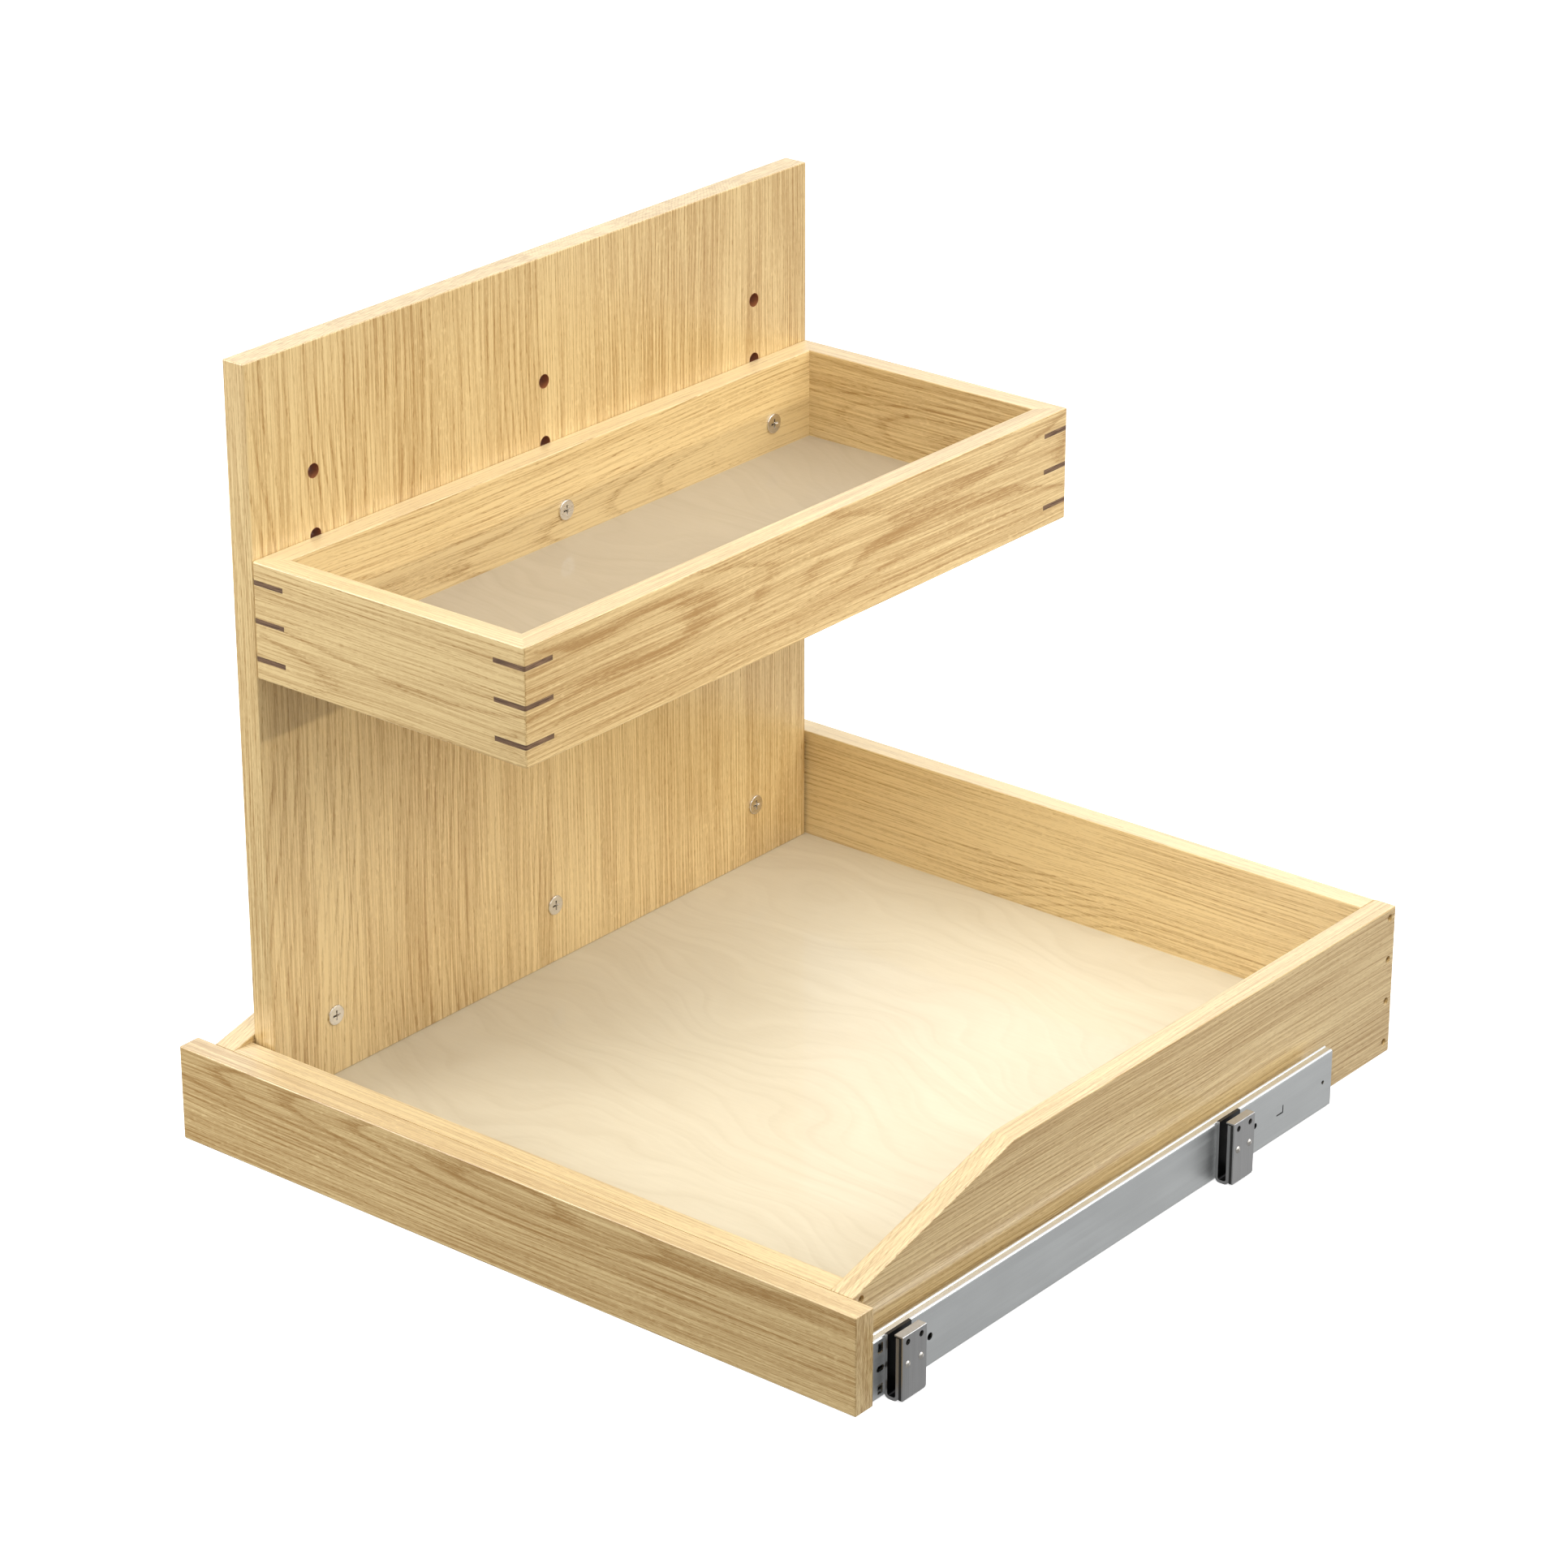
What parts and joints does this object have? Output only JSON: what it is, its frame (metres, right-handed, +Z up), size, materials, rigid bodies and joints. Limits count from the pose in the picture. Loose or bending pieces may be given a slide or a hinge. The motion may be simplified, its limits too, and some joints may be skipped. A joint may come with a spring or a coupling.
{
  "type": "under desk drawer",
  "caption": "Two-tier wooden pull-out drawer on side-mounted ball bearing slides: low front tray with sloped sides, an upright panel and a keyed shelf tray bolted to it.",
  "frame": {"origin": "under the middle of the drawer, on the plane it stands on", "axes": "+Z up, +Y to the back, +X to the right; the front panel faces -Y and the drawer pulls out towards -Y"},
  "size_m": [0.5184, 0.534, 0.4733],
  "materials": {
    "oak": "clear satin lacquer on light natural oak, fine straight grain",
    "birch_ply": "gloss clear coat on pale birch plywood",
    "walnut": "satin, dark walnut",
    "zinc_steel": "zinc plated sheet steel",
    "bracket_steel": "satin grey plated steel",
    "black_steel": "satin black coated steel",
    "nickel": "nickel plated",
    "screw_steel": "yellow zinc plated screws",
    "cage_steel": "thin stamped steel",
    "ball_steel": "polished bearing balls",
    "pad_rubber": "matte black rubber",
    "black_plastic": "matte black plastic"
  },
  "bodies": {
    "cabinet_side": {"bracket_channel_front_left": "black_steel", "bracket_channel_front_right": "black_steel", "bracket_channel_rear_left": "black_steel", "bracket_channel_rear_right": "black_steel", "bracket_pad_front_left": "pad_rubber", "bracket_pad_front_right": "pad_rubber", "bracket_pad_rear_left": "pad_rubber", "bracket_pad_rear_right": "pad_rubber", "bracket_plate_front_left": "bracket_steel", "bracket_plate_front_right": "bracket_steel", "bracket_plate_rear_left": "bracket_steel", "bracket_plate_rear_right": "bracket_steel", "bracket_rivets_front_left": "nickel", "bracket_rivets_front_right": "nickel", "bracket_rivets_rear_left": "nickel", "bracket_rivets_rear_right": "nickel", "cabinet_member_left": "zinc_steel", "cabinet_member_right": "zinc_steel", "stop_bumper_left": "black_plastic", "stop_bumper_right": "black_plastic"},
    "drawer": {"corner_keys_front_left": "walnut", "corner_keys_front_right": "walnut", "corner_keys_rear_left": "walnut", "corner_keys_rear_right": "walnut", "drawer_member_left": "zinc_steel", "drawer_member_right": "zinc_steel", "front_panel": "oak", "front_panel_screws": "screw_steel", "inner_front_rail": "oak", "left_side": "oak", "rear_panel": "oak", "right_side": "oak", "shelf_back_board": "oak", "shelf_bolts": "nickel", "shelf_floor": "birch_ply", "shelf_front_end": "oak", "shelf_outer_board": "oak", "shelf_rear_end": "oak", "shelf_sleeve_nuts": "nickel", "side_screws_left": "screw_steel", "side_screws_right": "screw_steel", "slide_screws_left": "screw_steel", "slide_screws_right": "screw_steel", "tray_floor": "birch_ply", "upright_bolts": "nickel", "upright_panel": "oak", "upright_sleeve_nuts": "nickel"},
    "inner_ball_train_left": {"inner_balls_left": "ball_steel", "inner_cage_left": "cage_steel"},
    "inner_ball_train_right": {"inner_balls_right": "ball_steel", "inner_cage_right": "cage_steel"},
    "intermediate_left": {"intermediate_member_left": "zinc_steel"},
    "intermediate_right": {"intermediate_member_right": "zinc_steel"},
    "outer_ball_train_left": {"outer_balls_left": "ball_steel", "outer_cage_left": "cage_steel"},
    "outer_ball_train_right": {"outer_balls_right": "ball_steel", "outer_cage_right": "cage_steel"}
  },
  "joints": [
    {"name": "drawer_slide", "type": "slide", "parent": "cabinet_side", "child": "drawer", "axis": [0, -1, 0], "range_m": [0, 0.42]},
    {"name": "intermediate_left_slide", "type": "slide", "parent": "cabinet_side", "child": "intermediate_left", "axis": [0, -1, 0], "range_m": [0, 0.21]},
    {"name": "outer_ball_train_left_slide", "type": "slide", "parent": "cabinet_side", "child": "outer_ball_train_left", "axis": [0, -1, 0], "range_m": [0, 0.105]},
    {"name": "inner_ball_train_left_slide", "type": "slide", "parent": "cabinet_side", "child": "inner_ball_train_left", "axis": [0, -1, 0], "range_m": [0, 0.315]},
    {"name": "intermediate_right_slide", "type": "slide", "parent": "cabinet_side", "child": "intermediate_right", "axis": [0, -1, 0], "range_m": [0, 0.21]},
    {"name": "outer_ball_train_right_slide", "type": "slide", "parent": "cabinet_side", "child": "outer_ball_train_right", "axis": [0, -1, 0], "range_m": [0, 0.105]},
    {"name": "inner_ball_train_right_slide", "type": "slide", "parent": "cabinet_side", "child": "inner_ball_train_right", "axis": [0, -1, 0], "range_m": [0, 0.315]}
  ],
  "couplings": [
    {"joint": "intermediate_left_slide", "follows": "drawer_slide", "ratio": 0.5},
    {"joint": "outer_ball_train_left_slide", "follows": "drawer_slide", "ratio": 0.25},
    {"joint": "inner_ball_train_left_slide", "follows": "drawer_slide", "ratio": 0.75},
    {"joint": "intermediate_right_slide", "follows": "drawer_slide", "ratio": 0.5},
    {"joint": "outer_ball_train_right_slide", "follows": "drawer_slide", "ratio": 0.25},
    {"joint": "inner_ball_train_right_slide", "follows": "drawer_slide", "ratio": 0.75}
  ]
}
